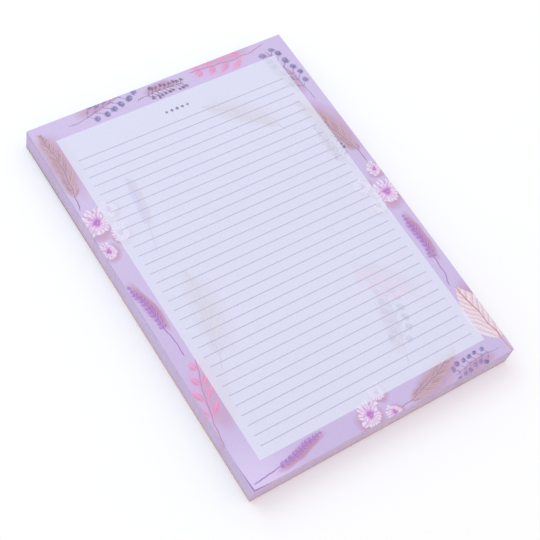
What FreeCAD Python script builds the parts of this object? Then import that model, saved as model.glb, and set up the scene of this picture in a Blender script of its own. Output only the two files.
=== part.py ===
"""A tear-off writing pad: a block of ruled leaves glued along the head edge, on a stiff backing board.

Millimetres. +X runs to the right across the ruling, +Y up the page towards the glued head, +Z up out of the
page. The origin is the middle of the footprint, on the surface that the pad lies on.

The leaves are printed with a lilac border of garden sprigs, cut off by the trim, and a pale ruled panel
over it. Each colour of print is a flat film of ink that lies on the top leaf.
"""
import FreeCAD, Part

import math
import os

# Leaves and board
leaf_width = 148.0
leaf_length = 210.0
leaf_thickness = 0.117
leaf_count = 100
board_thickness = 0.8

# Glue along the head
glue_thickness = 0.3
glue_round = 0.2

# Lifted corner of the top leaf, at the free end of the left side
curl_lift = 2.0
curl_clearance = 1.8

# Printed panel and its ruling
ink_thickness = 0.03
side_margin = 10.0
end_margin = 11.0
rule_inset = 4.0
rule_width = 0.3
rule_pitch = 5.4
first_rule_drop = 15.0
last_rule_rise = 5.0

# Row of plain marks in the heading's place
mark_count = 5
mark_pitch = 3.0
mark_size = 1.7
mark_drop = 7.9

# Broad sprig of the border print
sprig_length = 38.0
sprig_pairs = 4
sprig_reach = 9.5
sprig_leaf_width = 4.4

# Fern of the border print
fern_length = 44.0
fern_pairs = 10
fern_reach = 8.5
fern_leaf_width = 2.3

# Flower spike of the border print
spike_length = 36.0
spike_pairs = 8
spike_reach = 5.0
spike_leaf_width = 2.6

# Berry spray of the border print
spray_length = 33.0
spray_pairs = 3
spray_reach = 5.4
berry_radius = 1.5

# Blossoms of the border print
blossom_radius = 7.2
small_blossom_radius = 4.6
eye_radius = 1.4
petal_count = 5
petal_width = 4.0
small_petal_width = 2.6

stem_width = 0.7
leaf_slant = 42.0
print_seam = 0.05

# Worked out from the sizes above
pad_length = leaf_length + glue_thickness
foot_y = -pad_length / 2
head_y = foot_y + leaf_length
middle_y = (foot_y + head_y) / 2
left_x = -leaf_width / 2
right_x = leaf_width / 2
block_thickness = leaf_thickness * (leaf_count - 1)
block_top = board_thickness + block_thickness
sheet_top = block_top + leaf_thickness
panel_width = leaf_width - 2 * side_margin
panel_length = leaf_length - 2 * end_margin
panel_top = sheet_top + ink_thickness
panel_head = head_y - end_margin
rule_count = int((panel_length - first_rule_drop - last_rule_rise) / rule_pitch) + 1
curl_depth = (side_margin + end_margin) / math.sqrt(2) - curl_clearance
curl_leg = curl_depth * math.sqrt(2)


def point(x, y, z=0.0):
    return FreeCAD.Vector(x, y, z)


def slab(width, length, thickness, x, y, z):
    """A flat rectangle of stock with its near left corner at x, y, z."""
    return Part.makeBox(width, length, thickness, point(x, y, z))


def outline_face(points):
    """A flat face inside straight lines from point to point."""
    return Part.Face(Part.makePolygon(points + points[:1]))


def free_corner(leg):
    """The triangle at the free end of the left side, with two sides of length leg, at the height 0."""
    corner = [point(left_x, foot_y), point(left_x + leg, foot_y), point(left_x, foot_y + leg)]
    return outline_face(corner)


def backing_board():
    return slab(leaf_width, leaf_length, board_thickness, left_x, foot_y, 0)


def page_block():
    """Every leaf under the top one, as the single glued block that they make."""
    return slab(leaf_width, leaf_length, block_thickness, left_x, foot_y, board_thickness)


def head_glue():
    """The film of padding glue on the head edge, from the board's underside to the top leaf."""
    film = slab(leaf_width, glue_thickness, sheet_top, left_x, head_y, 0)
    outer = [edge for edge in film.Edges if abs(edge.CenterOfMass.y - head_y - glue_thickness) < 1e-6]
    return film.makeFillet(min(glue_round, glue_thickness * 0.7), outer)


def corner_curl():
    """The lifted corner: an arc of leaf that leaves the flat tangentially, trimmed to the square corner."""
    outward = point(-1, -1).normalize()
    along = point(-outward.y, outward.x)
    fold = point(left_x, foot_y) - outward * curl_depth
    outer_radius = (curl_depth**2 + curl_lift**2) / (2 * curl_lift)
    inner_radius = outer_radius - leaf_thickness
    sweep = 1.1 * math.asin(curl_depth / outer_radius)
    centre_z = block_top + outer_radius

    def on_arc(radius, angle):
        place = fold + outward * (radius * math.sin(angle))
        return point(place.x, place.y, centre_z - radius * math.cos(angle))

    def arc(radius, start, end):
        middle = (start + end) / 2
        return Part.Arc(on_arc(radius, start), on_arc(radius, middle), on_arc(radius, end)).toShape()

    section = Part.Wire([
        arc(outer_radius, 0, sweep),
        Part.LineSegment(on_arc(outer_radius, sweep), on_arc(inner_radius, sweep)).toShape(),
        arc(inner_radius, sweep, 0),
        Part.LineSegment(on_arc(inner_radius, 0), on_arc(outer_radius, 0)).toShape(),
    ])
    reach = 2 * curl_depth
    strip = Part.Face(section)
    strip.translate(along * -reach)
    strip = strip.extrude(along * (2 * reach))
    trim = slab(2 * reach, 2 * reach, 4 * curl_lift, left_x, foot_y, block_top - curl_lift)
    return strip.common(trim)


def top_sheet():
    """The top leaf: flat on the block, apart from the corner that has lifted."""
    flat = slab(leaf_width, leaf_length, leaf_thickness, left_x, foot_y, block_top)
    corner = free_corner(curl_leg)
    corner.translate(point(0, 0, block_top))
    flat = flat.cut(corner.extrude(point(0, 0, leaf_thickness)))
    return flat.fuse(corner_curl()).removeSplitter()


def writing_panel():
    """The pale field printed over the border."""
    near_x = left_x + side_margin
    near_y = foot_y + end_margin
    return slab(panel_width, panel_length, ink_thickness, near_x, near_y, sheet_top)


def ruled_lines():
    """Evenly spaced writing lines, printed on the panel."""
    start_x = left_x + side_margin + rule_inset
    length = panel_width - 2 * rule_inset
    lines = []
    for row in range(rule_count):
        y = panel_head - first_rule_drop - row * rule_pitch
        lines.append(slab(length, rule_width, ink_thickness, start_x, y - rule_width / 2, panel_top))
    return Part.makeCompound(lines)


def title_marks():
    """A short row of lozenges, largest in the middle."""
    marks = []
    y = panel_head - mark_drop
    for number in range(mark_count):
        step = number - (mark_count - 1) / 2
        half = mark_size / 2 * (1.3 - 0.5 * abs(step) / mark_count)
        x = step * mark_pitch
        face = outline_face([point(x - half, y), point(x, y - half), point(x + half, y), point(x, y + half)])
        face.translate(point(0, 0, panel_top))
        marks.append(face.extrude(point(0, 0, ink_thickness)))
    return Part.makeCompound(marks)


def from_left(inset, share):
    """A place that far in from the left edge. The share runs from -1 at the foot to 1 at the head."""
    return point(left_x + inset, middle_y + share * leaf_length / 2)


def from_right(inset, share):
    return point(right_x - inset, middle_y + share * leaf_length / 2)


def from_head(inset, share):
    """A place that far in from the head edge. The share runs from -1 at the left to 1 at the right."""
    return point(share * leaf_width / 2, head_y - inset)


def from_foot(inset, share):
    return point(share * leaf_width / 2, foot_y + inset)


def polar(start, angle, distance):
    """The point at a distance from start, in the direction of an angle in degrees."""
    turn = math.radians(angle)
    return start + point(math.cos(turn), math.sin(turn)) * distance


def oval(base, angle, length, width):
    """A pointed oval between two arcs."""
    tip = polar(base, angle, length)
    middle = polar(base, angle, length / 2)
    left = Part.Arc(base, polar(middle, angle + 90, width / 2), tip)
    right = Part.Arc(tip, polar(middle, angle - 90, width / 2), base)
    return Part.Face(Part.Wire([left.toShape(), right.toShape()]))


def kite(base, angle, length, width):
    """A narrow leaf with straight sides, widest halfway along."""
    middle = polar(base, angle, length / 2)
    left = polar(middle, angle + 90, width / 2)
    right = polar(middle, angle - 90, width / 2)
    return outline_face([base, right, polar(base, angle, length), left])


def berry(centre):
    return Part.Face(Part.Wire(Part.Circle(centre, point(0, 0, 1), berry_radius).toShape()))


def leafy_stem(leaf, base, angle, length, pairs, reach, width):
    """A stem with pairs of leaves, ovals or kites, that shorten towards its two ends."""
    shapes = [kite(base, angle, length, stem_width)]
    for pair in range(pairs):
        share = (pair + 1) / (pairs + 1)
        joint = polar(base, angle, length * share)
        leaf_reach = reach * math.sin(math.pi * (0.25 + 0.7 * share))
        for side in (-1, 1):
            shapes.append(leaf(joint, angle + side * leaf_slant, leaf_reach, width))
    return shapes


def sprig(base, angle):
    return leafy_stem(oval, base, angle, sprig_length, sprig_pairs, sprig_reach, sprig_leaf_width)


def fern(base, angle):
    return leafy_stem(kite, base, angle, fern_length, fern_pairs, fern_reach, fern_leaf_width)


def spike(base, angle):
    return leafy_stem(kite, base, angle, spike_length, spike_pairs, spike_reach, spike_leaf_width)


def spray(base, angle):
    """A stem with pairs of berries on short stalks, and one berry at the tip."""
    shapes = [kite(base, angle, spray_length, stem_width), berry(polar(base, angle, spray_length))]
    for pair in range(spray_pairs):
        joint = polar(base, angle, spray_length * (pair + 1) / (spray_pairs + 1))
        for side in (-1, 1):
            stalk = angle + side * leaf_slant
            shapes.append(kite(joint, stalk, spray_reach, stem_width))
            shapes.append(berry(polar(joint, stalk, spray_reach)))
    return shapes


def petals(centre, turn, radius, width):
    """A ring of petals round a bare eye."""
    ring = []
    for number in range(petal_count):
        angle = turn + 360 * number / petal_count
        ring.append(oval(polar(centre, angle, eye_radius), angle, radius - eye_radius, width))
    return ring


def blossom(centre, turn):
    return petals(centre, turn, blossom_radius, petal_width)


def small_blossom(centre, turn):
    return petals(centre, turn, small_blossom_radius, small_petal_width)


def blossom_motifs():
    shapes = blossom(from_left(5, 0.42), 20) + small_blossom(from_left(4, 0.29), 50)
    shapes += blossom(from_right(5, -0.04), 10) + small_blossom(from_right(4, 0.10), 40)
    return shapes + blossom(from_foot(5, -0.10), 0)


def rose_motifs():
    return sprig(from_left(0, -0.74), 80) + sprig(from_head(2, 0.72), 186) + sprig(from_right(3, -0.95), 98)


def straw_motifs():
    return fern(from_left(-1, 0.58), 80) + fern(from_foot(2, 0.28), 14) + fern(from_right(3, 0.20), 96)


def violet_motifs():
    return spike(from_left(6, -0.18), 94) + spike(from_right(6, -0.46), 88) + spike(from_foot(4, -0.78), 6)


def slate_motifs():
    return spray(from_head(6, -0.66), 8) + spray(from_foot(6, 0.92), 172) + spray(from_right(6, 0.64), 93)


def print_film(shapes, covered):
    """One colour of the border print: its shapes as flat film, less what the shapes in covered hold.

    It stops at the trimmed edges and at the pale panel, and short of the corner that lifts.
    """
    border = Part.makePlane(leaf_width, leaf_length, point(left_x, foot_y))
    inner = point(left_x + side_margin - print_seam, foot_y + end_margin - print_seam)
    border = border.cut(Part.makePlane(panel_width + 2 * print_seam, panel_length + 2 * print_seam, inner))
    border = border.cut(free_corner(curl_leg + print_seam))
    area = shapes[0].multiFuse(shapes[1:]).common(border)
    if covered:
        area = area.cut(covered[0].multiFuse(covered[1:]))
    films = []
    for face in area.removeSplitter().Faces:
        face.translate(point(0, 0, sheet_top))
        films.append(face.extrude(point(0, 0, ink_thickness)))
    return Part.makeCompound(films)


def save(name, shape):
    shape.exportStep(os.path.join("parts", name + ".step"))
    state = "valid" if shape.isValid() else "NOT VALID"
    print(name, len(shape.Solids), "solids", round(shape.Volume, 2), "mm3", state)


os.makedirs("parts", exist_ok=True)
save("backing_board", backing_board())
save("page_block", page_block())
save("top_sheet", top_sheet())
save("head_glue", head_glue())
save("writing_panel", writing_panel())
save("ruled_lines", ruled_lines())
save("title_marks", title_marks())

covered = []
for name, motifs in (
    ("blossom_print", blossom_motifs()),
    ("rose_print", rose_motifs()),
    ("violet_print", violet_motifs()),
    ("slate_print", slate_motifs()),
    ("straw_print", straw_motifs()),
):
    save(name, print_film(motifs, covered))
    covered = covered + motifs
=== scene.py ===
import math

import bmesh
import bpy
import numpy as np
from mathutils import Matrix, Vector


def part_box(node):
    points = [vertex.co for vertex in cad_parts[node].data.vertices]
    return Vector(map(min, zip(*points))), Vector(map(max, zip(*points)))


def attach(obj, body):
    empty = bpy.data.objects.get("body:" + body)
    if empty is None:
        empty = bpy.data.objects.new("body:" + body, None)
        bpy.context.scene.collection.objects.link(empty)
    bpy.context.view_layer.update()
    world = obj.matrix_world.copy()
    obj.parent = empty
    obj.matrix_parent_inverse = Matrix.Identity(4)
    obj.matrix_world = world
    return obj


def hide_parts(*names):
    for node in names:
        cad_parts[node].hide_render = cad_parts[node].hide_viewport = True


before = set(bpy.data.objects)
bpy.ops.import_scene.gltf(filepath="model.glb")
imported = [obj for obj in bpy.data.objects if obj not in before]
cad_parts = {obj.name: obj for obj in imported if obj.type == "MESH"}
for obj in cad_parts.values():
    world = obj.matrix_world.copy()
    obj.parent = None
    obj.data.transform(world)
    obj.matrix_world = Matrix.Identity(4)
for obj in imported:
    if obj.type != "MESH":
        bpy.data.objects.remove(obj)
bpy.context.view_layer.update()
mm = 0.001

# where the solids are, in metres
boardLow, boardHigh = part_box("backing_board")
blockLow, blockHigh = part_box("page_block")
sheetLow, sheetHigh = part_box("top_sheet")
panelLow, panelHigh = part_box("writing_panel")
rulesLow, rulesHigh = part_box("ruled_lines")
marksLow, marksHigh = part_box("title_marks")
glueLow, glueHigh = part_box("head_glue")
leafWidth = sheetHigh.x - sheetLow.x
leafLength = sheetHigh.y - sheetLow.y
middleY = (sheetLow.y + sheetHigh.y) / 2
sheetTop = panelLow.z


def linearColour(code):
    parts = [int(code[i:i + 2], 16) / 255 for i in (1, 3, 5)]
    return (*[p / 12.92 if p <= 0.04045 else ((p + 0.055) / 1.055) ** 2.4 for p in parts], 1.0)


# adds one node: its settings by name and its inputs in their order, each of them a number, a vector,
# a colour's code, a node or a socket; None leaves an input as it is
def put(tree, kind, *values, **settings):
    made = tree.nodes.new(kind)
    for name, value in settings.items():
        setattr(made, name, value)
    for socket, value in zip(made.inputs, values):
        if isinstance(value, str):
            value = linearColour(value)
        if isinstance(value, bpy.types.Node):
            value = value.outputs[0]
        if isinstance(value, bpy.types.NodeSocket):
            tree.links.new(value, socket)
        elif value is not None:
            socket.default_value = value
    return made


# puts a mesh, a lamp or a camera into the scene
def newPiece(name, data, material=None):
    piece = bpy.data.objects.new(name, data)
    bpy.context.scene.collection.objects.link(piece)
    if material:
        data.materials.append(material)
    return piece


# a new material, its tree, and where on its object each point of it is
def newMaterial(name):
    material = bpy.data.materials.new(name)
    material.use_nodes = True
    tree = material.node_tree
    tree.nodes.clear()
    return material, tree, put(tree, "ShaderNodeTexCoord").outputs["Object"]


# the end of a material: "bump" is the strength and the height of its relief
def finished(material, values, tone, relief=None):
    tree, bump = material.node_tree, None
    if relief:
        bump = put(tree, "ShaderNodeBump", *values["bump"])
        tree.links.new(relief.outputs[0], bump.inputs["Height"])
    roughness, ior = values["roughness"], values.get("ior")
    shader = put(tree, "ShaderNodeBsdfPrincipled", tone, None, roughness, ior, None, bump)
    put(tree, "ShaderNodeOutputMaterial", shader)
    return material


mathNode = "ShaderNodeMath"
vectorNode = "ShaderNodeVectorMath"
rangeNode = "ShaderNodeMapRange"
mixNode = "ShaderNodeMixRGB"
noiseNode = "ShaderNodeTexNoise"
smooth = {"interpolation_type": "SMOOTHSTEP"}
noiseWide, noiseCore = (0.3, 0.7), (0.35, 0.65)      # the part of a noise over which a tone changes


# the shape that the loose leaves have taken
padShape = {
    "rise": 1.5 * mm,        # most that the right edge stands up, a bit past half way down
    "riseAlong": 0.8,        # half waves of that rise between the glued head and the free foot
    "trough": 0.35 * mm,     # how far the middle of the page sags
    "fan": 1.4,              # how quickly the rise fades towards the board
}


# rise of the stack's top at x, y
def leafRise(x, y):
    across = (x - sheetLow.x) / leafWidth
    along = np.clip((sheetHigh.y - y) / leafLength, 0, 1)
    rise = padShape["rise"] * np.sin(math.pi * padShape["riseAlong"] * along) * np.clip(across, 0, 1) ** 2
    return rise - padShape["trough"] * np.sin(math.pi * np.clip(across, 0, 1)) * np.sin(math.pi * along)


# a closed slab between two grids of points, each an array of columns x rows x 3
def slabMesh(name, upper, lower, material):
    columns, rows = upper.shape[:2]
    points = np.concatenate([upper.reshape(-1, 3), lower.reshape(-1, 3)])
    index = np.arange(columns * rows).reshape(columns, rows)
    below = index + columns * rows
    top = np.stack([index[:-1, :-1], index[1:, :-1], index[1:, 1:], index[:-1, 1:]], -1).reshape(-1, 4)
    bottom = np.stack([below[:-1, :-1], below[:-1, 1:], below[1:, 1:], below[1:, :-1]], -1).reshape(-1, 4)
    rim = np.concatenate([index[:, 0], index[-1, 1:], index[-2::-1, -1], index[0, -2:0:-1]])
    following = np.roll(rim, -1)
    walls = np.stack([rim, rim + columns * rows, following + columns * rows, following], -1)
    mesh = bpy.data.meshes.new(name)
    mesh.from_pydata(points.tolist(), [], np.concatenate([top, bottom, walls]).tolist())
    mesh.update()
    return newPiece(name, mesh, material)


def pointsOf(piece):
    points = np.empty(len(piece.data.vertices) * 3, np.float32)
    piece.data.vertices.foreach_get("co", points)
    return points.reshape(-1, 3)


def movePoints(piece, points):
    piece.data.vertices.foreach_set("co", points.astype(np.float32).ravel())
    piece.data.update()


# a map for baking, where all faces turned one way share a rectangle of the picture: for each way the
# axes that run along and up it, then its left, bottom, right and top
def bakeMap(piece, rectangles):
    mesh = piece.data
    for layer in list(mesh.uv_layers):
        mesh.uv_layers.remove(layer)
    points = pointsOf(piece)
    normals = np.empty(len(mesh.polygons) * 3, np.float32)
    mesh.polygons.foreach_get("normal", normals)
    normals = normals.reshape(-1, 3)
    sizes = np.empty(len(mesh.polygons), np.int32)
    mesh.polygons.foreach_get("loop_total", sizes)
    corners = np.empty(len(mesh.loops), np.int32)
    mesh.loops.foreach_get("vertex_index", corners)
    axis = np.abs(normals).argmax(1)
    way = np.repeat(axis * 2 + (normals[np.arange(len(axis)), axis] > 0), sizes)
    share = ((points - points.min(0)) / np.ptp(points, axis=0))[corners]
    places = np.zeros((len(corners), 2), np.float32)
    for number, (along, up, left, bottom, right, top) in enumerate(rectangles):
        here = way == number
        places[here, 0] = left + (right - left) * share[here, along]
        places[here, 1] = bottom + (top - bottom) * share[here, up]
    mesh.uv_layers.new(name="OFBake").data.foreach_set("uv", places.ravel())


def bodyPiece(piece, slotName, *replaced):
    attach(piece, "root")
    if replaced:
        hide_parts(*replaced)
    return piece


# the print: each motif is a node group that reads a place in mm, x along its stem
def motifGroup(name):
    group = bpy.data.node_groups.new(name, "ShaderNodeTree")
    group.interface.new_socket("Place", in_out="INPUT", socket_type="NodeSocketVector")
    for socket in ("Colour", "Cover", "Shade"):
        kind = "NodeSocketColor" if socket == "Colour" else "NodeSocketFloat"
        group.interface.new_socket(socket, in_out="OUTPUT", socket_type=kind)
    return group, put(group, "NodeGroupInput")


alongX, alongY, alongZ = (1.0, 0.0, 0.0), (0.0, 1.0, 0.0), (0.0, 0.0, 1.0)


# one number of a vector, as a dot product, because the other two stay on the renderer's short stack otherwise
def reading(tree, vector, axis):
    return put(tree, vectorNode, vector, axis, operation="DOT_PRODUCT").outputs["Value"]


# how far out a soft oval starts to fade and where it has gone, as squares of its half size
ovalFade = (0.25, 1.1)


# soft oval that a motif casts on the ground: its centre and its half size, along and across the motif,
# in mm or as shares of the length and the width
def softOval(tree, along, across, oval, length=1.0, width=1.0):
    u = put(tree, mathNode, along, oval[0] * length, operation="SUBTRACT")
    v = put(tree, mathNode, across, oval[1] * width, operation="SUBTRACT")
    u = put(tree, mathNode, u, oval[2] * length, operation="DIVIDE")
    v = put(tree, mathNode, v, oval[3] * width, operation="DIVIDE")
    u = put(tree, mathNode, u, u, operation="MULTIPLY")
    far = put(tree, mathNode, v, v, u, operation="MULTIPLY_ADD")
    return put(tree, rangeNode, far, *ovalFade, 1.0, 0.0, **smooth)


# a number from 0 to 1 that looks drawn by lot for each key: the decimals of a high steep wave
def chanceOf(tree, key):
    steepness, height = 12.9898, 43.7585
    wave = put(tree, mathNode, key, steepness, operation="MULTIPLY")
    wave = put(tree, mathNode, wave, operation="SINE")
    wave = put(tree, mathNode, wave, height, operation="MULTIPLY")
    return put(tree, mathNode, wave, operation="FRACT")


# shakes a place in small steps, for fringed and fuzzy outlines
def ruffled(tree, place, size, strength):
    shake = put(tree, noiseNode, place, None, 1 / size, 1.0).outputs["Color"]
    shake = put(tree, vectorNode, shake, (0.5, 0.5, 0.5), operation="SUBTRACT")
    return put(tree, vectorNode, shake, (strength, strength, 0.0), place, operation="MULTIPLY_ADD")


sideKey = 0.37      # tells the two stalks of a pair apart


# places on a bent stem with pairs of slanting stalks: u along and v across the stem,
# t along and w across the nearest stalk, and the number of its pair
def stemPlaces(group, start, values):
    slant = math.radians(values["slant"])
    pitch = values["length"] / (values["pairs"] + 1)
    u = reading(group, start, alongX)
    squared = put(group, mathNode, u, u, operation="MULTIPLY")
    v = reading(group, start, alongY)
    v = put(group, mathNode, squared, -values["bend"], v, operation="MULTIPLY_ADD")
    side = put(group, mathNode, v, operation="ABSOLUTE")
    pair = put(group, mathNode, side, -1 / math.tan(slant), u, operation="MULTIPLY_ADD")
    pair = put(group, mathNode, pair, pitch, operation="DIVIDE")
    pair = put(group, mathNode, pair, operation="ROUND")
    pair = put(group, mathNode, pair, 1.0, operation="MAXIMUM")
    pair = put(group, mathNode, pair, float(values["pairs"]), operation="MINIMUM")
    key = put(group, mathNode, v, operation="SIGN")
    key = put(group, mathNode, key, sideKey, pair, operation="MULTIPLY_ADD")
    chance = chanceOf(group, key)
    fromJoint = put(group, mathNode, pair, -pitch, u, operation="MULTIPLY_ADD")
    t = put(group, mathNode, fromJoint, math.cos(slant), operation="MULTIPLY")
    t = put(group, mathNode, side, math.sin(slant), t, operation="MULTIPLY_ADD")
    w = put(group, mathNode, fromJoint, -math.sin(slant), operation="MULTIPLY")
    w = put(group, mathNode, side, math.cos(slant), w, operation="MULTIPLY_ADD")
    return u, v, side, pair, chance, t, w


# how a stem fades, in mm inside and outside its edge and over its cut end, and from what share of its length
stemFade = {"inside": 0.1, "outside": 0.15, "cut": 2.0, "tip": 0.95}


# the stem itself, faded in where it is cut and out at its tip
def stemCover(group, u, side, values, strokes=None):
    half = values["stem"] / 2
    stem = put(group, rangeNode, side, half - stemFade["inside"], half + stemFade["outside"], 1.0, 0.0)
    if strokes:
        stem = put(group, mathNode, stem, strokes, operation="MAXIMUM")
    begun = put(group, rangeNode, u, -values["tail"] - stemFade["cut"], -values["tail"], 0.0, 1.0)
    ended = put(group, rangeNode, u, values["length"] * stemFade["tip"], values["length"], 1.0, 0.0)
    stem = put(group, mathNode, stem, begun, operation="MULTIPLY")
    return put(group, mathNode, stem, ended, operation="MULTIPLY")


# lengths in mm and slants in degrees; "tail" is the bare stem, "reach" a leaf's length and "leaf" its width,
# "edge" how softly its outline fades, and "vary", "fluff" and "shadow" are shares
fern = {
    "length": 44.0, "pairs": 23, "reach": 10.5, "leaf": 1.9, "slant": 27, "bend": 0.0035, "shadow": 0.5,
    "stem": 0.4, "tail": 4.0, "edge": 0.5, "vary": 0.55, "fluff": 0.45, "fluffColour": "#B28796",
    "dark": "#7B4A5C", "light": "#B07F8B", "rib": "#DBBCC8", "stemColour": "#8E6070",
}
roseSprig = {
    "length": 40.0, "pairs": 4, "reach": 13.0, "leaf": 4.6, "slant": 34, "bend": -0.003, "shadow": 0.7,
    "stem": 0.5, "tail": 5.0, "edge": 1.5, "vary": 0.3, "fluff": 0.2, "fluffColour": "#DF98D0",
    "dark": "#D879B4", "light": "#EDA4D5", "rib": "#F0B2D8", "stemColour": "#B87FAE",
}
violetSpike = {
    "length": 30.0, "pairs": 12, "reach": 4.0, "leaf": 2.3, "slant": 36, "bend": 0.002, "shadow": 1.4,
    "stem": 0.5, "tail": 13.0, "edge": 0.7, "vary": 0.3, "fluff": 0.55, "fluffColour": "#B384D2",
    "dark": "#7F3B9F", "light": "#A86CCB", "rib": "#CDA9E3", "stemColour": "#9A6DBB",
}
# what every leaf on a stem has: "first" and "span" place the pairs on a half wave of leaf lengths
stemLeaf = {
    "first": 0.25, "span": 0.7, "least": 0.75, "spread": 0.35, "edge": 0.1,
    "fold": 0.3, "foldTone": 0.45, "rib": (0.1, 0.3), "ribTone": 0.65,
    "fluffOval": (0.53, 0.0, 0.5, 0.7), "shadeOval": (0.5, -0.45, 0.54, 0.62),
}


# pairs of leaves on a stem, shortest at its two ends
def leafyStem(name, values):
    group, start = motifGroup(name)
    u, v, side, pair, chance, t, w = stemPlaces(group, start, values)
    longest = values["reach"]
    least, spread = stemLeaf["least"] * longest, stemLeaf["spread"] * longest
    dark, light, rib = [values[tint] for tint in ("dark", "light", "rib")]
    step = stemLeaf["span"] / (values["pairs"] + 1)
    share = put(group, mathNode, pair, step, stemLeaf["first"], operation="MULTIPLY_ADD")
    reach = put(group, mathNode, share, math.pi, operation="MULTIPLY")
    reach = put(group, mathNode, reach, operation="SINE")
    vary = put(group, mathNode, chance, spread, least, operation="MULTIPLY_ADD")
    reach = put(group, mathNode, reach, vary, operation="MULTIPLY")
    a = put(group, mathNode, t, reach, operation="DIVIDE")
    rest = put(group, mathNode, 1.0, a, operation="SUBTRACT")
    outline = put(group, mathNode, a, rest, operation="MULTIPLY")
    outline = put(group, mathNode, outline, 2 * values["leaf"], operation="MULTIPLY")
    wide = put(group, mathNode, w, operation="ABSOLUTE")
    inside = put(group, mathNode, outline, wide, operation="SUBTRACT")
    leaf = put(group, rangeNode, inside, -stemLeaf["edge"], values["edge"], 0.0, 1.0, **smooth)
    tone = put(group, mixNode, a, dark, light, use_clamp=True)
    half = put(group, rangeNode, w, -stemLeaf["fold"], stemLeaf["fold"], 0.0, stemLeaf["foldTone"])
    tone = put(group, mixNode, half, tone, dark)
    varied = put(group, mathNode, chance, values["vary"], operation="MULTIPLY")
    tone = put(group, mixNode, varied, tone, rib)
    ribbed = put(group, rangeNode, wide, *stemLeaf["rib"], stemLeaf["ribTone"], 0.0)
    tone = put(group, mixNode, ribbed, tone, rib)
    stem = stemCover(group, u, side, values)
    tone = put(group, mixNode, stem, tone, values["stemColour"])
    cover = put(group, mathNode, leaf, stem, operation="MAXIMUM")
    tone = put(group, mixNode, cover, values["fluffColour"], tone)
    fluff = softOval(group, u, v, stemLeaf["fluffOval"], values["length"], longest)
    fluff = put(group, mathNode, fluff, values["fluff"], operation="MULTIPLY")
    cover = put(group, mathNode, cover, fluff, operation="MAXIMUM")
    shade = softOval(group, u, v, stemLeaf["shadeOval"], values["length"], longest)
    shade = put(group, mathNode, shade, values["shadow"], operation="MULTIPLY")
    put(group, "NodeGroupOutput", tone, cover, shade)
    return group


# "berry" is a berry's radius, and "vary" how near the ripest berries come to the ripe colour
berrySpray = {
    "length": 36.0, "pairs": 6, "reach": 6.4, "berry": 2.2, "slant": 47, "bend": 0.004,
    "stem": 0.4, "tail": 4.0, "vary": 0.75, "ruffle": 1.5, "ruffleScale": 0.8,
    "dark": "#6B66A2", "light": "#8C88C8", "shine": "#BDBAE6", "stemColour": "#8C82AE", "ripe": "#57497A",
}
budSpray = {
    "length": 30.0, "pairs": 9, "reach": 5.0, "berry": 1.7, "slant": 52, "bend": -0.004,
    "stem": 0.5, "tail": 4.0, "vary": 0.8, "ruffle": 2.4, "ruffleScale": 1.1,
    "dark": "#4C3F58", "light": "#76658A", "shine": "#A497B8", "stemColour": "#6F5F7E", "ripe": "#3B3040",
}
# what every berry on a stalk has: "least", "spread", "rim" and the last two are shares, the others are mm
stalkBerry = {
    "least": 0.6, "spread": 0.5, "stalk": (0.1, 0.35), "joint": 0.2, "inside": 1.2, "outside": 0.2,
    "rim": 0.3, "glint": (0.45, -0.45, 0.0), "glintFade": (0.15, 0.9), "glintTone": 0.5,
    "shadeOval": (0.5, 0.5, 0.52, 0.8),
}


# pairs of berries on stalks
def berriedStem(name, values):
    group, start = motifGroup(name)
    start = ruffled(group, start, values["ruffleScale"], values["ruffle"])
    u, v, side, _, chance, t, w = stemPlaces(group, start, values)
    longest, radius = values["reach"], values["berry"]
    least, spread = stalkBerry["least"] * longest, stalkBerry["spread"] * longest
    reach = put(group, mathNode, chance, spread, least, operation="MULTIPLY_ADD")
    beyond = put(group, mathNode, t, reach, operation="SUBTRACT")
    wide = put(group, mathNode, w, operation="ABSOLUTE")
    stalk = put(group, rangeNode, wide, *stalkBerry["stalk"], 1.0, 0.0)
    near = put(group, rangeNode, beyond, -stalkBerry["joint"], 0.0, 1.0, 0.0)
    stalk = put(group, mathNode, stalk, near, operation="MULTIPLY")
    stem = stemCover(group, u, side, values, stalk)
    spot = put(group, "ShaderNodeCombineXYZ", beyond, w, 0.0)
    far = put(group, vectorNode, spot, operation="LENGTH").outputs["Value"]
    inside, outside = radius - stalkBerry["inside"], radius + stalkBerry["outside"]
    berry = put(group, rangeNode, far, inside, outside, 1.0, 0.0, **smooth)
    tone = put(group, mixNode, berry, values["stemColour"], values["light"])
    rim = put(group, rangeNode, far, stalkBerry["rim"] * radius, radius, 0.0, 1.0)
    rim = put(group, mathNode, rim, berry, operation="MULTIPLY")
    tone = put(group, mixNode, rim, tone, values["dark"])
    ripe = put(group, mathNode, chance, values["vary"], operation="MULTIPLY")
    ripe = put(group, mathNode, ripe, berry, operation="MULTIPLY")
    tone = put(group, mixNode, ripe, tone, values["ripe"])
    lit = put(group, vectorNode, spot, stalkBerry["glint"], operation="DISTANCE").outputs["Value"]
    lit = put(group, rangeNode, lit, *stalkBerry["glintFade"], stalkBerry["glintTone"], 0.0, **smooth)
    tone = put(group, mixNode, lit, tone, values["shine"])
    cover = put(group, mathNode, berry, stem, operation="MAXIMUM")
    shade = softOval(group, u, v, stalkBerry["shadeOval"], values["length"], longest)
    put(group, "NodeGroupOutput", tone, cover, shade)
    return group


blossomHead = {
    "outer": {"petals": 9, "radius": 8.8, "petal": 5.2, "twist": 0.0},
    "inner": {"petals": 7, "radius": 5.8, "petal": 4.0, "twist": 0.5},
    "deep": "#AC58BC", "middle": "#D08FDD", "pale": "#EDE5F8", "eyeColour": "#C07AC6", "eye": (0.4, 1.1),
    "ruffle": 1.6, "ruffleScale": 1.5, "shadeOval": (-1.4, -1.8, 9.68, 9.24),
}
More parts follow.
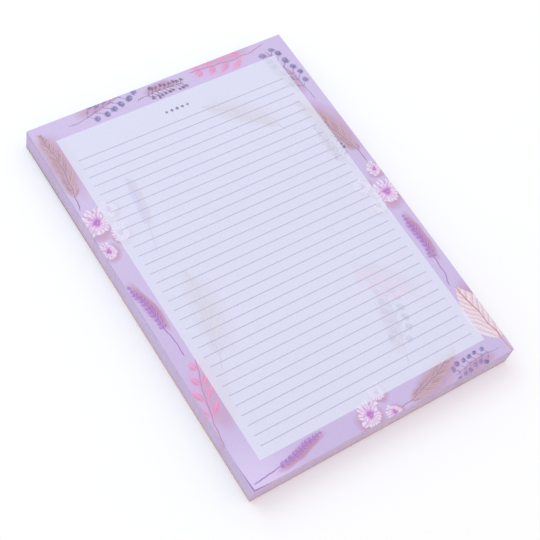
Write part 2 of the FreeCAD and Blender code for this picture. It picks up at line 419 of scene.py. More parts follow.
# what every petal has: its shares of the ring's radius, its oval, the reach of each tone along it, then its
# streaks and the fold at its sides
petalShape = {
    "least": 0.62, "spread": 0.4, "narrow": 2.1, "outward": 1.15, "edge": (0.78, 1.05),
    "middle": (0.15, 0.5), "tip": (0.3, 0.75), "streaks": 17.0, "streakTone": 0.7, "fold": (0.6, 1.0),
    "foldTone": 0.75,
}


# one ring of petals, deep pink at the heart and between the petals, nearly white at the tips
def petalRing(group, u, v, far, ring, values):
    turn = 2 * math.pi / ring["petals"]
    angle = put(group, mathNode, v, u, operation="ARCTAN2")
    angle = put(group, mathNode, angle, ring["twist"], operation="ADD")
    petal = put(group, mathNode, angle, turn, operation="DIVIDE")
    petal = put(group, mathNode, petal, operation="ROUND")
    local = put(group, mathNode, petal, -turn, angle, operation="MULTIPLY_ADD")
    petal = put(group, mathNode, petal, ring["petals"] / 2, -ring["petals"] / 2, operation="WRAP")
    chance = chanceOf(group, petal)
    least, spread = petalShape["least"] * ring["radius"], petalShape["spread"] * ring["radius"]
    radius = put(group, mathNode, chance, spread, least, operation="MULTIPLY_ADD")
    along = put(group, mathNode, local, operation="COSINE")
    along = put(group, mathNode, along, far, operation="MULTIPLY")
    along = put(group, mathNode, along, radius, operation="DIVIDE")
    across = put(group, mathNode, local, operation="SINE")
    across = put(group, mathNode, across, far, operation="MULTIPLY")
    across = put(group, mathNode, across, ring["petal"] / 2, operation="DIVIDE")
    off = put(group, mathNode, along, petalShape["narrow"], -petalShape["outward"], operation="MULTIPLY_ADD")
    off = put(group, mathNode, off, off, operation="MULTIPLY")
    oval = put(group, mathNode, across, across, off, operation="MULTIPLY_ADD")
    cover = put(group, rangeNode, oval, *petalShape["edge"], 1.0, 0.0, **smooth)
    deep, middle, pale = [values[tint] for tint in ("deep", "middle", "pale")]
    tone = put(group, rangeNode, along, *petalShape["middle"], 0.0, 1.0)
    tone = put(group, mixNode, tone, deep, middle)
    tip = put(group, rangeNode, along, *petalShape["tip"], 0.0, 1.0)
    tone = put(group, mixNode, tip, tone, pale)
    streak = put(group, mathNode, local, petalShape["streaks"], chance, operation="MULTIPLY_ADD")
    streak = put(group, mathNode, streak, operation="SINE")
    streak = put(group, rangeNode, streak, 0.0, 1.0, 0.0, petalShape["streakTone"])
    tone = put(group, mixNode, streak, tone, middle)
    fold = put(group, mathNode, across, operation="ABSOLUTE")
    fold = put(group, rangeNode, fold, *petalShape["fold"], 0.0, petalShape["foldTone"])
    return cover, put(group, mixNode, fold, tone, deep)


# an open papery flower: two rings of petals and an eye
def blossomGroup(name, values):
    group, start = motifGroup(name)
    start = ruffled(group, start, values["ruffleScale"], values["ruffle"])
    u, v = reading(group, start, alongX), reading(group, start, alongY)
    far = put(group, vectorNode, start, operation="LENGTH").outputs["Value"]
    cover, tone = petalRing(group, u, v, far, values["outer"], values)
    innerCover, innerTone = petalRing(group, u, v, far, values["inner"], values)
    tone = put(group, mixNode, innerCover, tone, innerTone)
    eye = put(group, rangeNode, far, *values["eye"], 1.0, 0.0)
    tone = put(group, mixNode, eye, tone, values["eyeColour"])
    cover = put(group, mathNode, cover, innerCover, operation="MAXIMUM")
    shade = softOval(group, u, v, values["shadeOval"])
    put(group, "NodeGroupOutput", tone, cover, shade)
    return group


pleatedLeaf = {
    "length": 34.0, "leaf": 17.0, "rib": 2.3, "slant": 34,
    "dark": "#CF8C92", "light": "#E4C8D8", "pale": "#F1EBF6",
    "baseWidth": 1.4, "taper": -0.8,       # shares of the width, so that it is broadest near its stem
    "pleat": 0.8, "crease": (0.78, 1.0), "creaseTone": 0.8, "edge": 0.6, "midrib": (0.2, 0.5),
    "stem": (0.35, 0.6), "cut": (-12.0, -10.0), "joint": (0.0, 2.0), "shadeOval": (17.0, -3.5, 18.7, 9.35),
}


# one broad leaf with pleats between its ribs
def broadLeaf(name, values):
    group, start = motifGroup(name)
    slant = math.radians(values["slant"])
    u, v = reading(group, start, alongX), reading(group, start, alongY)
    side = put(group, mathNode, v, operation="ABSOLUTE")
    a = put(group, mathNode, u, values["length"], operation="DIVIDE", use_clamp=True)
    rest = put(group, mathNode, 1.0, a, operation="SUBTRACT")
    outline = put(group, mathNode, a, rest, operation="MULTIPLY")
    lean = put(group, mathNode, a, values["taper"], values["baseWidth"], operation="MULTIPLY_ADD")
    outline = put(group, mathNode, outline, lean, operation="MULTIPLY")
    outline = put(group, mathNode, outline, 2 * values["leaf"], operation="MULTIPLY")
    inside = put(group, mathNode, outline, side, operation="SUBTRACT")
    cover = put(group, rangeNode, inside, 0.0, values["edge"], 0.0, 1.0, **smooth)
    rib = put(group, mathNode, side, -1 / math.tan(slant), u, operation="MULTIPLY_ADD")
    rib = put(group, mathNode, rib, values["rib"] / math.sin(slant), operation="DIVIDE")
    pleat = put(group, mathNode, rib, operation="FRACT")
    tone = put(group, rangeNode, pleat, 0.0, values["pleat"], 0.0, 1.0)
    tone = put(group, mixNode, tone, values["light"], values["pale"])
    crease = put(group, rangeNode, pleat, *values["crease"], 0.0, values["creaseTone"])
    tone = put(group, mixNode, crease, tone, values["dark"])
    middle = put(group, rangeNode, side, *values["midrib"], 1.0, 0.0)
    tone = put(group, mixNode, middle, tone, values["dark"])
    stem = put(group, rangeNode, side, *values["stem"], 1.0, 0.0)
    begun = put(group, rangeNode, u, *values["cut"], 0.0, 1.0)
    ended = put(group, rangeNode, u, *values["joint"], 1.0, 0.0)
    stem = put(group, mathNode, stem, begun, operation="MULTIPLY")
    stem = put(group, mathNode, stem, ended, operation="MULTIPLY")
    cover = put(group, mathNode, cover, stem, operation="MAXIMUM")
    shade = softOval(group, u, v, values["shadeOval"])
    put(group, "NodeGroupOutput", tone, cover, shade)
    return group


borderPrint = {
    # the corner colour is painted light: the ground near the lifted free corner is painted lighter, where
    # that corner catches more light
    "ground": "#CDBCE6", "groundFoot": "#C5B4E0", "cloud": "#CFC1EA", "corner": "#D6C6F0",
    "shade": "#BB7A97", "shadeStrength": 0.5, "ink": 0.86, "panel": "#DEE4F8", "panelCover": 0.70,
    "wander": 3.0 * mm, "wanderScale": 9 * mm, "grain": 0.9 * mm, "grainTint": 0.13,
    "slope": (-2.4, 3.6, 0.0),      # how fast the ground goes from its foot colour to the other, per metre: partly print, partly painted light falloff
    "cloudScale": 12.0, "cloudTone": 0.4, "cornerLightFade": (8 * mm, 30 * mm),
}

# by motif: the edge it is measured from, distance in from that edge in mm, share along it, angle, scale.
# Later motifs lie over earlier ones, and the last of most lists shows faintly through the panel.
motifPlaces = {
    "berrySpray": (
        ("head", 6.0, -0.66, 8, 1.0), ("foot", 4.5, 0.88, 176, 0.7), ("right", 6.0, 0.62, 95, 0.95),
        ("foot", 22.0, 0.34, 66, 1.0),
    ),
    "budSpray": (("head", 5.5, -0.16, 4, 0.78), ("right", 12.5, 0.19, 99, 0.85)),
    "fern": (
        ("left", 2.6, 0.56, 79, 0.95), ("foot", 2.0, 0.16, 9, 0.85), ("right", 4.0, 0.20, 98, 1.0),
        ("left", 20.0, -0.42, 70, 1.1), ("right", 31.0, 0.50, 128, 0.95),
    ),
    "roseSprig": (
        ("left", 0.5, -0.72, 82, 1.0), ("head", 3.0, 0.76, 186, 1.0), ("right", 24.0, -0.58, 140, 0.9),
    ),
    "violetSpike": (
        ("left", 6.0, -0.20, 96, 1.0), ("foot", 4.0, -0.80, 8, 0.95), ("right", 6.0, -0.46, 86, 1.0),
        ("left", 26.0, 0.30, 78, 1.0),
    ),
    "blossom": (
        ("left", 5.0, 0.42, 20, 1.0), ("left", 3.0, 0.27, 50, 0.62), ("foot", 5.0, -0.10, 0, 0.9),
        ("right", 5.0, -0.04, 10, 1.0), ("right", 3.0, 0.10, 40, 0.6), ("left", 13.0, 0.33, 15, 0.7),
        ("left", 14.0, 0.46, 65, 0.6), ("foot", 13.0, 0.02, 25, 0.6), ("foot", 1.0, 0.05, 80, 0.55),
        ("right", 14.0, 0.04, 55, 0.65), ("right", 13.0, -0.09, 20, 0.55),
    ),
    "pleatedLeaf": (("right", 2.0, -0.93, 96, 1.0),),
}


def motifPlace(edge, inset, share):
    inset *= mm
    if edge in ("left", "right"):
        y = middleY + share * leafLength / 2
        return (sheetLow.x + inset if edge == "left" else sheetHigh.x - inset), y
    x = share * leafWidth / 2
    return x, (sheetHigh.y - inset if edge == "head" else sheetLow.y + inset)


# a point seen from the nearest motif of one kind, because no two of a kind overlap
def nearestPlace(group, flat, kind, middle):
    least = 1000.0      # mm, past all of them
    near = (least, least, 0.0, 1.0)
    for edge, inset, share, angle, scale in motifPlaces[kind]:
        x, y = motifPlace(edge, inset, share)
        turned = (0.0, 0.0, math.radians(angle))
        size = (scale * mm, scale * mm, scale * mm)
        local = put(group, "ShaderNodeMapping", flat, (x, y, 0.0), turned, size, vector_type="TEXTURE")
        far = put(group, vectorNode, local, middle, operation="DISTANCE").outputs["Value"]
        nearer = put(group, mathNode, far, least, operation="LESS_THAN")
        near = put(group, mixNode, nearer, near, local)
        least = put(group, mathNode, far, least, operation="MINIMUM")
    return near


# 1 inside the panel and 0 around it
def panelMask(group, start):
    inside = []
    for axis, low, high in ((alongX, panelLow.x, panelHigh.x), (alongY, panelLow.y, panelHigh.y)):
        off = put(group, mathNode, reading(group, start, axis), (low + high) / 2, operation="SUBTRACT")
        off = put(group, mathNode, off, operation="ABSOLUTE")
        inside.append(put(group, mathNode, off, (high - low) / 2, operation="LESS_THAN"))
    return put(group, mathNode, *inside, operation="MULTIPLY")


motifMakers = {
    "berrySpray": (berriedStem, berrySpray), "budSpray": (berriedStem, budSpray), "fern": (leafyStem, fern),
    "roseSprig": (leafyStem, roseSprig), "violetSpike": (leafyStem, violetSpike),
    "blossom": (blossomGroup, blossomHead), "pleatedLeaf": (broadLeaf, pleatedLeaf),
}


# the whole printed face: lilac ground with painted light on it (lighter at the lifted corner, and partly in
# its slope), motifs with their soft shades, and the pale panel over them
def printedFace(values):
    group = bpy.data.node_groups.new("printedFace", "ShaderNodeTree")
    group.interface.new_socket("Place", in_out="INPUT", socket_type="NodeSocketVector")
    for socket in ("Colour", "Border"):
        group.interface.new_socket(socket, in_out="OUTPUT", socket_type="NodeSocketColor")
    start = put(group, "NodeGroupInput")
    # the ground darkens towards the foot and the right: partly print, partly painted light falloff
    slope = reading(group, start, values["slope"])
    slope = put(group, mathNode, slope, 0.5, operation="ADD", use_clamp=True)
    tone = put(group, mixNode, slope, values["groundFoot"], values["ground"])
    cloud = put(group, noiseNode, start, None, values["cloudScale"], 1.0)
    cloud = put(group, rangeNode, cloud, *noiseCore, 0.0, values["cloudTone"])
    tone = put(group, mixNode, cloud, tone, values["cloud"])
    # painted light: the ground is made lighter near the lifted free corner, where that corner catches more
    # light
    freeCorner = (sheetLow.x, sheetLow.y, sheetTop)
    corner = put(group, vectorNode, start, freeCorner, operation="DISTANCE").outputs["Value"]
    corner = put(group, rangeNode, corner, *values["cornerLightFade"], 1.0, 0.0, **smooth)
    tone = put(group, mixNode, corner, tone, values["corner"])
    flat = put(group, vectorNode, start, (1.0, 1.0, 0.0), operation="MULTIPLY")
    grain = put(group, noiseNode, flat, None, 1 / values["grain"], 2.0, 0.7)
    grain = put(group, rangeNode, grain, *noiseWide, 1 - values["grainTint"], 1 + values["grainTint"] / 2)
    flat = ruffled(group, flat, values["wanderScale"], values["wander"])
    for kind, (makeMotif, motifValues) in motifMakers.items():
        near = nearestPlace(group, flat, kind, (motifValues.get("length", 0.0) / 2, 0.0, 0.0))
        motif = put(group, "ShaderNodeGroup", near, node_tree=makeMotif(kind, motifValues))
        shade = put(group, mathNode, motif.outputs["Shade"], values["shadeStrength"], operation="MULTIPLY")
        tone = put(group, mixNode, shade, tone, values["shade"])
        ink = put(group, mathNode, motif.outputs["Cover"], values["ink"], operation="MULTIPLY")
        grained = put(group, vectorNode, motif.outputs["Colour"], grain, operation="MULTIPLY")
        tone = put(group, mixNode, ink, tone, grained)
    panel = put(group, mathNode, panelMask(group, start), values["panelCover"], operation="MULTIPLY")
    face = put(group, mixNode, panel, tone, values["panel"])
    put(group, "NodeGroupOutput", face, tone)
    return group


printGroup = printedFace(borderPrint)
print("printed face ready")

paper = {"roughness": 0.62, "fibre": 0.9 * mm, "fibreTint": 0.035, "bump": (0.05, 0.02 * mm), "ior": 1.5}


# smooth uncoated writing paper: a matt face with a faint even tooth
def printedPaper():
    material, tree, where = newMaterial("printed uncoated paper")
    face = put(tree, "ShaderNodeGroup", where, node_tree=printGroup)
    tooth = put(tree, noiseNode, where, None, 1 / paper["fibre"], 3.0, 0.7)
    shade = put(tree, rangeNode, tooth, *noiseWide, 1 - paper["fibreTint"], 1 + paper["fibreTint"])
    tone = put(tree, vectorNode, face.outputs["Colour"], shade, operation="MULTIPLY")
    return finished(material, paper, tone, tooth)


# "lift" is how many leaves were jogged and cut together, which leaves faint lines
leafEdge = {
    "stock": "#D0C3E1", "printShare": 0.12, "lift": 6, "liftTint": 0.05, "nick": 0.03,
    "nickScale": (500.0, 500.0, 60.0), "roughness": 0.8, "ior": 1.5, "footFacing": 0.5, "upFacing": 0.7,
    "footFaceLight": "#D3C2D9",                          # painted light: a warmer stock on the face towards the foot, for how that side is lit
    "boardShade": "#C9B5C4", "boardShadeHeight": 3.5 * mm, "boardShadeTone": 0.8,      # painted warm shade on the leaves next to the board
    "underCorner": (0.80, 0.60, 0.79),             # a leaf in the shade of the lifted corner
}


# guillotined edges of the same printed paper: the print bleeds into faint upright bands, leaf by leaf
def cutEdges():
    material, tree, where = newMaterial("cut edges of printed paper")
    face = put(tree, "ShaderNodeGroup", where, node_tree=printGroup)
    normal = put(tree, "ShaderNodeNewGeometry").outputs["Normal"]
    # the face towards the foot takes a warmer stock, painted light for how that side is lit
    foot = reading(tree, normal, (0.0, -1.0, 0.0))
    foot = put(tree, mathNode, foot, leafEdge["footFacing"], operation="GREATER_THAN")
    stock = put(tree, mixNode, foot, leafEdge["stock"], leafEdge["footFaceLight"])
    edge = put(tree, mixNode, leafEdge["printShare"], stock, face.outputs["Border"])
    height = reading(tree, where, alongZ)
    # painted warm shade, darkest at the bottom, on the leaves next to the board
    boardShadeTop = blockLow.z + leafEdge["boardShadeHeight"]
    boardShade = put(tree, rangeNode, height, blockLow.z, boardShadeTop, leafEdge["boardShadeTone"], 0.0)
    edge = put(tree, mixNode, boardShade, edge, leafEdge["boardShade"])
    lift = put(tree, mathNode, height, leafEdge["lift"] * leafPitch, operation="DIVIDE")
    lift = put(tree, mathNode, lift, operation="FLOOR")
    line = put(tree, rangeNode, chanceOf(tree, lift), 0.0, 1.0, 1 - leafEdge["liftTint"], 1.0)
    nicks = put(tree, vectorNode, where, leafEdge["nickScale"], operation="MULTIPLY")
    nicks = put(tree, noiseNode, nicks, None, 1.0, 2.0)
    nicks = put(tree, rangeNode, nicks, *noiseWide, 1 - leafEdge["nick"], 1 + leafEdge["nick"])
    wear = put(tree, mathNode, line, nicks, operation="MULTIPLY")
    edge = put(tree, vectorNode, edge, wear, operation="MULTIPLY")
    upward = reading(tree, normal, alongZ)
    upward = put(tree, mathNode, upward, leafEdge["upFacing"], operation="GREATER_THAN")
    shaded = put(tree, vectorNode, face.outputs["Colour"], leafEdge["underCorner"], operation="MULTIPLY")
    tone = put(tree, mixNode, upward, edge, shaded)
    return finished(material, leafEdge, tone)


greyboard = {
    # the two cut colours are painted shade towards the head and painted light towards the foot
    "ground": "#A38C80", "light": "#BDA698", "dark": "#78655C", "cutHeadShade": "#3C2823", "cutFootLight": "#DDB9A2",
    "pulp": 0.6 * mm, "fleckScale": 750.0, "fleckFade": (0.05, 0.22), "fleckTone": 0.6,
    "ply": (120.0, 120.0, 1 / (0.12 * mm)), "plyTone": (0.88, 1.08), "cutFade": (0.015, 0.07),
    "cutFacing": (0.3, 0.9), "cutTone": 0.8, "roughness": 0.9, "bump": (0.2, 0.05 * mm),
}


# pressed recycled board: warm grey-brown pulp with pale and dark flecks, layered on its cut edge
def greyboardMaterial():
    material, tree, where = newMaterial("recycled greyboard")
    pulp = put(tree, noiseNode, where, None, 1 / greyboard["pulp"], 4.0, 0.65)
    tone = put(tree, rangeNode, pulp, *noiseCore, 0.0, 1.0)
    tone = put(tree, mixNode, tone, greyboard["ground"], greyboard["light"])
    flecks = put(tree, "ShaderNodeTexVoronoi", where, None, greyboard["fleckScale"])
    flecks = put(tree, rangeNode, flecks, *greyboard["fleckFade"], greyboard["fleckTone"], 0.0)
    tone = put(tree, mixNode, flecks, tone, greyboard["dark"])
    # the cut edge is painted dark towards the head as painted shade and pale towards the foot as painted
    # light
    along = put(tree, rangeNode, reading(tree, where, alongY), *greyboard["cutFade"], 0.0, 1.0)
    cut = put(tree, mixNode, along, greyboard["cutFootLight"], greyboard["cutHeadShade"])
    upward = put(tree, "ShaderNodeNewGeometry").outputs["Normal"]
    upward = put(tree, mathNode, reading(tree, upward, alongZ), operation="ABSOLUTE")
    upward = put(tree, rangeNode, upward, *greyboard["cutFacing"], greyboard["cutTone"], 0.0)
    tone = put(tree, mixNode, upward, tone, cut)
    layers = put(tree, vectorNode, where, greyboard["ply"], operation="MULTIPLY")
    layers = put(tree, noiseNode, layers, None, 1.0, 1.0)
    layers = put(tree, rangeNode, layers, *noiseWide, *greyboard["plyTone"])
    tone = put(tree, vectorNode, tone, layers, operation="MULTIPLY")
    return finished(material, greyboard, tone, pulp)


paddingGlue = {
    "colour": "#DCD7E6", "thin": "#CFC5E0", "stroke": 2.2 * mm, "drag": (0.12, 1.0, 1.0),
    "roughness": 0.34, "ior": 1.46, "bump": (0.5, 0.15 * mm),
}


# PVA padding compound, brushed on and dried: a clear-white rubbery film with soft brush strokes
def glueMaterial():
    material, tree, where = newMaterial("dried padding glue")
    strokes = put(tree, vectorNode, where, paddingGlue["drag"], operation="MULTIPLY")
    strokes = put(tree, noiseNode, strokes, None, 1 / paddingGlue["stroke"], 3.0, 0.6)
    thick = put(tree, rangeNode, strokes, *noiseCore, 0.0, 1.0)
    tone = put(tree, mixNode, thick, paddingGlue["thin"], paddingGlue["colour"])
    return finished(material, paddingGlue, tone, strokes)


printInk = {"grain": 1.5 * mm, "roughness": 0.55}


# printing ink on paper, a little uneven where the sheet took less of it
def inkMaterial(name, colour, thin):
    material, tree, where = newMaterial(name)
    grain = put(tree, noiseNode, where, None, 1 / printInk["grain"], 3.0, 0.7)
    grain = put(tree, rangeNode, grain, *noiseCore, 0.0, 1.0)
    tone = put(tree, mixNode, grain, colour, thin)
    return finished(material, printInk, tone)


# the pieces themselves start here, from the leaf stack to the marks
leafStackValues = {
    "count": 99,
    "across": 11,        # points across a leaf, so that it can swell
    "along": 17,
    "shift": (0.015 * mm, 0.0105 * mm, 0.0),      # how far a leaf may lie out of line with the cut face
    "turn": 0.00015,     # and how far it may be turned, in radians
    "gap": 0.004,        # share of a leaf's pitch that is air
    "seed": 7,
    # left, right, foot, head, undersides and tops
    "map": (
        (1, 2, 0.0, 0.17, 1.0, 0.37), (1, 2, 0.0, 0.38, 1.0, 0.58), (0, 2, 0.0, 0.59, 1.0, 0.79),
        (0, 2, 0.0, 0.80, 1.0, 1.0), (1, 0, 0.0, 0.0, 0.49, 0.16), (1, 0, 0.51, 0.0, 1.0, 0.16),
    ),
}
leafPitch = (blockHigh.z - blockLow.z) / leafStackValues["count"]


# a modifier's tree with named inputs; gives back the tree, the sockets by name and the input node
def growthTree(name, inputs):
    tree = bpy.data.node_groups.new(name, "GeometryNodeTree")
    sockets = {}
    for label, value in inputs.items():
        kind = "NodeSocketVector" if isinstance(value, tuple) else "NodeSocketInt"
        sockets[label] = tree.interface.new_socket(label, in_out="INPUT", socket_type=kind)
    tree.interface.new_socket("Geometry", in_out="OUTPUT", socket_type="NodeSocketGeometry")
    return tree, sockets, put(tree, "NodeGroupInput")


# ends the tree, hangs it on an empty mesh, sets its inputs by their identifiers and makes it plain mesh
def grow(name, tree, sockets, inputs, instances, material):
    real = put(tree, "GeometryNodeRealizeInstances", instances)
    put(tree, "NodeGroupOutput", put(tree, "GeometryNodeSetMaterial", real, None, material))
    piece = newPiece(name, bpy.data.meshes.new(name))
    modifier = piece.modifiers.new(name, "NODES")
    modifier.node_group = tree
    for label, value in inputs.items():
        modifier[sockets[label].identifier] = value
    evaluated = piece.evaluated_get(bpy.context.evaluated_depsgraph_get())
    mesh = bpy.data.meshes.new_from_object(evaluated)
    piece.modifiers.clear()
    piece.data = mesh
    mesh.name = name
    mesh.materials.clear()
    mesh.materials.append(material)
    return piece


def makeLeafStack(material):
    values = leafStackValues
    inputs = {
        "Leaves": values["count"],
        "Leaf size": (leafWidth, leafLength, leafPitch * (1 - values["gap"])),
        "First leaf": (0.0, middleY, blockLow.z + leafPitch / 2),
        "Pitch": (0.0, 0.0, leafPitch),
        "Shift": values["shift"],
        "Turn": (0.0, 0.0, values["turn"]),
        "Seed": values["seed"],
    }
    tree, sockets, start = growthTree("leafStack", inputs)
    leaf = put(tree, "GeometryNodeMeshCube", start.outputs["Leaf size"], values["across"], values["along"], 2)
    line = put(tree, "GeometryNodeMeshLine", start.outputs["Leaves"], None, start.outputs["First leaf"],
               start.outputs["Pitch"])
    drawn = []
    for most in (start.outputs["Shift"], start.outputs["Turn"]):
        least = put(tree, vectorNode, most, (-1.0, -1.0, -1.0), operation="MULTIPLY")
        drawn.append(put(tree, "FunctionNodeRandomValue", least, most, data_type="FLOAT_VECTOR"))
        tree.links.new(start.outputs["Seed"], drawn[-1].inputs["Seed"])
    line = put(tree, "GeometryNodeSetPosition", line, None, None, drawn[0])
    leaves = put(tree, "GeometryNodeInstanceOnPoints", line, None, leaf, None, None, drawn[1])
    stack = grow("leafStack", tree, sockets, inputs, leaves, material)
    bakeMap(stack, values["map"])
    points = pointsOf(stack)
    height = np.clip((points[:, 2] - blockLow.z) / (blockHigh.z - blockLow.z), 0, 1)
    points[:, 2] += leafRise(points[:, 0], points[:, 1]) * height ** padShape["fan"]
    movePoints(stack, points)
    return stack


curl = {"lift": sheetHigh.z - panelLow.z, "margin": 1.8 * mm}
topSheetValues = {
    "across": 75, "along": 106, "thickness": blockHigh.z - panelLow.z,
    "map": (
        (1, 2, 0.84, 0.51, 1.0, 0.59), (1, 2, 0.84, 0.61, 1.0, 0.69), (0, 2, 0.84, 0.71, 1.0, 0.79),
        (0, 2, 0.84, 0.81, 1.0, 0.89), (0, 1, 0.84, 0.0, 1.0, 0.49), (0, 1, 0.0, 0.0, 0.82, 1.0),
    ),
}


# moves points of the flat sheet up and in over the fold near the free left corner
def curlCorner(points):
    insetX, insetY = panelLow.x - sheetLow.x, panelLow.y - sheetLow.y
    depth = (insetX + insetY) / math.sqrt(2) - curl["margin"]
    radius = (depth ** 2 + curl["lift"] ** 2) / (2 * curl["lift"])
    outward = np.array([-1.0, -1.0]) / math.sqrt(2)
    fold = np.array([sheetLow.x, sheetLow.y]) - outward * depth
    past = (points[..., :2] - fold) @ outward
    bent = past > 0
    angle = np.where(bent, past / radius, 0)
    points[..., :2] += np.where(bent, radius * np.sin(angle) - past, 0)[..., None] * outward
    points[..., 2] += np.where(bent, radius * (1 - np.cos(angle)), 0)
    return points


def makeTopSheet(material):
    values = topSheetValues
    x = np.linspace(sheetLow.x, sheetHigh.x, values["across"])
    y = np.linspace(sheetLow.y, sheetHigh.y, values["along"])
    x, y = np.meshgrid(x, y, indexing="ij")
    upper = np.stack([x, y, sheetTop + leafRise(x, y)], -1)
    lower = upper + (0, 0, values["thickness"])
    sheet = slabMesh("topSheet", upper, lower, material)
    bakeMap(sheet, values["map"])
    movePoints(sheet, curlCorner(pointsOf(sheet)))
    return sheet


boardEdge = {"round": 0.12 * mm, "steps": 2}


def makeBackingBoard(material):
    mesh = bpy.data.meshes.new("backingBoard")
    shape = bmesh.new()
    bmesh.ops.create_cube(shape, size=1.0)
    size = Matrix.Diagonal((*(boardHigh - boardLow), 1.0))
    place = Matrix.Translation((boardHigh + boardLow) / 2)
    bmesh.ops.transform(shape, matrix=place @ size, verts=shape.verts)
    bmesh.ops.bevel(shape, geom=shape.edges[:], offset=boardEdge["round"], segments=boardEdge["steps"],
                    affect="EDGES")
    shape.to_mesh(mesh)
    return newPiece("backingBoard", mesh, material)


glueFilm = {
    "across": 149, "up": 15,            # points
    "long": (210, 3, 500),              # its lumps are two waves, in radians per metre along and up the film
    "short": (530, 900),
    "border": 0.6 * mm, "borderDepth": 0.25, "least": 0.6,
}


def makeHeadGlue(material):
    values = glueFilm
    x = np.linspace(glueLow.x, glueHigh.x, values["across"])
    z = np.linspace(glueLow.z, sheetTop, values["up"])
    x, z = np.meshgrid(x, z, indexing="ij")
    (along, sway, up), (shortAlong, shortUp) = values["long"], values["short"]
    waves = np.sin(x * along + sway * np.sin(z * up)) + np.sin(x * shortAlong + z * shortUp)
    lumps = 0.5 + 0.25 * waves
    edge = np.minimum(np.minimum(z - glueLow.z, sheetTop - z) / values["border"], 1)
    edge = values["borderDepth"] + (1 - values["borderDepth"]) * edge
    depth = (glueHigh.y - glueLow.y) * edge * (values["least"] + (1 - values["least"]) * lumps)
    outer = np.stack([x, glueLow.y + depth, z], -1)
    inner = np.stack([x, np.full_like(x, glueLow.y), z], -1)
    return slabMesh("headGlue", inner, outer, material)


rulingValues = {"count": 32, "width": 0.3 * mm, "height": 0.03 * mm, "steps": 61}


def makeRuling(material):
    values = rulingValues
    pitch = (rulesHigh.y - rulesLow.y - values["width"]) / (values["count"] - 1)
    inputs = {
        "Lines": values["count"],
        "Line size": (rulesHigh.x - rulesLow.x, values["width"], values["height"]),
        "First line": (0.0, rulesHigh.y - values["width"] / 2, 0.0),
        "Pitch": (0.0, -pitch, 0.0),
    }
    tree, sockets, start = growthTree("ruledLines", inputs)
    rule = put(tree, "GeometryNodeMeshCube", start.outputs["Line size"], values["steps"], 2, 2)
    line = put(tree, "GeometryNodeMeshLine", start.outputs["Lines"], None, start.outputs["First line"],
               start.outputs["Pitch"])
    rules = put(tree, "GeometryNodeInstanceOnPoints", line, None, rule)
    return layOnSheet(grow("ruledLines", tree, sockets, inputs, rules, material), values["height"])


# lays flat print on the swollen sheet
def layOnSheet(piece, height):
    points = pointsOf(piece)
    points[:, 2] += sheetTop + leafRise(points[:, 0], points[:, 1]) + height / 2
    movePoints(piece, points)
    return piece


markValues = {"count": 5, "height": 0.03 * mm, "shrink": 0.12}


def makeTitleMarks(material):
    values = markValues
    half = (marksHigh.y - marksLow.y) / 2
    first = marksLow.x + half * (1 - 2 * values["shrink"])
    shape = bmesh.new()
    for number in range(values["count"]):
        step = number - (values["count"] - 1) / 2
        size = half * (1 - values["shrink"] * abs(step))
        x = first + (-2 * first) * number / (values["count"] - 1)
        place = Matrix.Translation((x, (marksLow.y + marksHigh.y) / 2, 0))
        bmesh.ops.create_cone(shape, cap_ends=True, segments=4, radius1=size, radius2=size,
                              depth=values["height"], matrix=place)
    mesh = bpy.data.meshes.new("titleMarks")
    shape.to_mesh(mesh)
    return layOnSheet(newPiece("titleMarks", mesh, material), values["height"])


bodyPiece(makeBackingBoard(greyboardMaterial()), "greyboard", "backing_board")
bodyPiece(makeLeafStack(cutEdges()), "leaf_edges", "page_block")
bodyPiece(makeHeadGlue(glueMaterial()), "padding_glue", "head_glue")
bodyPiece(makeTopSheet(printedPaper()), "lilac_print", "top_sheet", "writing_panel", "blossom_print",
          "rose_print", "violet_print", "slate_print", "straw_print")
bodyPiece(makeRuling(inkMaterial("grey-violet ruling ink", "#A6A2CA", "#B3AFD4")), "rule_ink", "ruled_lines")
bodyPiece(makeTitleMarks(inkMaterial("dark violet ink", "#837F9E", "#9591B2")), "mark_ink", "title_marks")
print("pieces ready")

# floor, lights and camera
studio = {
    "sky": (0.96, 0.89, 0.87), "lamp": 5.0, "lampColour": (0.55, 1.05, 1.0),
    "lampPlace": (-0.35, 0.9, 1.2), "lampSize": 1.1,
    "floorColour": "#F0F1F7", "floorGlow": 0.1, "floorReach": 3.0, "floorInset": 0.2 * mm,
}


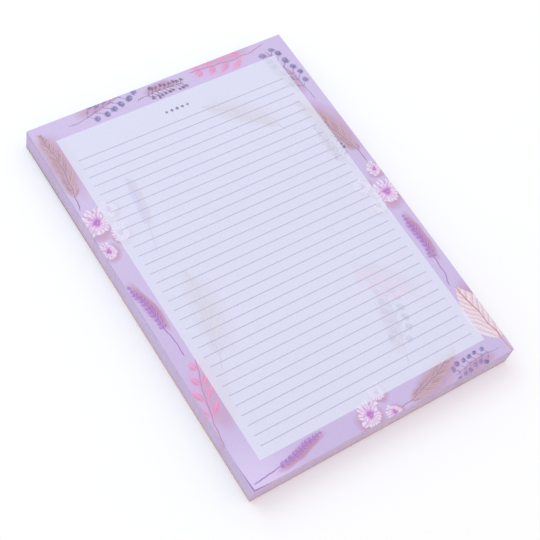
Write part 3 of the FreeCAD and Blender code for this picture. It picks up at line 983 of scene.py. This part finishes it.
# a table that is open under the pad and clear from below, so that the board's underside can be looked at
def makeFloor():
    mesh = bpy.data.meshes.new("floor")
    reach, inset = studio["floorReach"], studio["floorInset"]
    corners = []
    for lowX, lowY, highX, highY in (
            (-reach, -reach, reach, reach),
            (boardLow.x + inset, boardLow.y + inset, boardHigh.x - inset, boardHigh.y - inset)):
        corners += [(lowX, lowY, 0), (highX, lowY, 0), (highX, highY, 0), (lowX, highY, 0)]
    mesh.from_pydata(corners, [], [(0, 1, 5, 4), (1, 2, 6, 5), (2, 3, 7, 6), (3, 0, 4, 7)])
    material, tree = newMaterial("pale table")[:2]
    diffuse = put(tree, "ShaderNodeBsdfDiffuse", studio["floorColour"])
    glow = put(tree, "ShaderNodeEmission", (1.0, 1.0, 1.0, 1.0))
    light = put(tree, "ShaderNodeLightPath")
    share = put(tree, mathNode, light.outputs["Is Camera Ray"], studio["floorGlow"], operation="MULTIPLY")
    tree.links.new(share.outputs[0], glow.inputs["Strength"])
    above = put(tree, "ShaderNodeAddShader", diffuse, glow)
    below = put(tree, "ShaderNodeBsdfTransparent")
    underneath = put(tree, "ShaderNodeNewGeometry").outputs["Backfacing"]
    put(tree, "ShaderNodeOutputMaterial", put(tree, "ShaderNodeMixShader", underneath, above, below))
    newPiece("floor", mesh, material)


def makeLights():
    world = bpy.data.worlds.new("studio")
    bpy.context.scene.world = world
    world.use_nodes = True
    tree = world.node_tree
    tree.nodes.clear()
    light = put(tree, "ShaderNodeLightPath")
    seen = light.outputs["Is Camera Ray"]
    for ray in ("Is Glossy Ray", "Is Transmission Ray"):
        seen = put(tree, mathNode, seen, light.outputs[ray], operation="MAXIMUM")
    tint = put(tree, mixNode, seen, studio["sky"] + (1.0,), (1.0, 1.0, 1.0, 1.0))
    sky = put(tree, "ShaderNodeBackground", tint, 1.0)
    put(tree, "ShaderNodeOutputWorld", sky)
    lamp = bpy.data.lights.new("window", "AREA")
    lamp.energy = studio["lamp"]
    lamp.color = studio["lampColour"]
    lamp.size = studio["lampSize"]
    holder = newPiece("window", lamp)
    holder.location = studio["lampPlace"]
    holder.rotation_euler = (-Vector(studio["lampPlace"])).to_track_quat("-Z", "Y").to_euler()


viewpoint = {
    "place": (-0.2576, -0.2292, 0.5438), "forward": (0.3993, 0.3429, -0.8503), "up": (0.3900, 0.7758, 0.4960),
    "lens": 87.8, "sensor": 36.0,
}


def makeCamera():
    camera = bpy.data.cameras.new("camera")
    camera.lens = viewpoint["lens"]
    camera.sensor_width = viewpoint["sensor"]
    holder = newPiece("camera", camera)
    back = -Vector(viewpoint["forward"]).normalized()
    right = Vector(viewpoint["up"]).cross(back).normalized()
    up = back.cross(right)
    turned = Matrix((right, up, back)).transposed().to_4x4()
    holder.matrix_world = Matrix.Translation(viewpoint["place"]) @ turned
    bpy.context.scene.camera = holder


makeFloor()
makeLights()
makeCamera()
bpy.context.scene.view_settings.view_transform = "Standard"
print("studio ready")
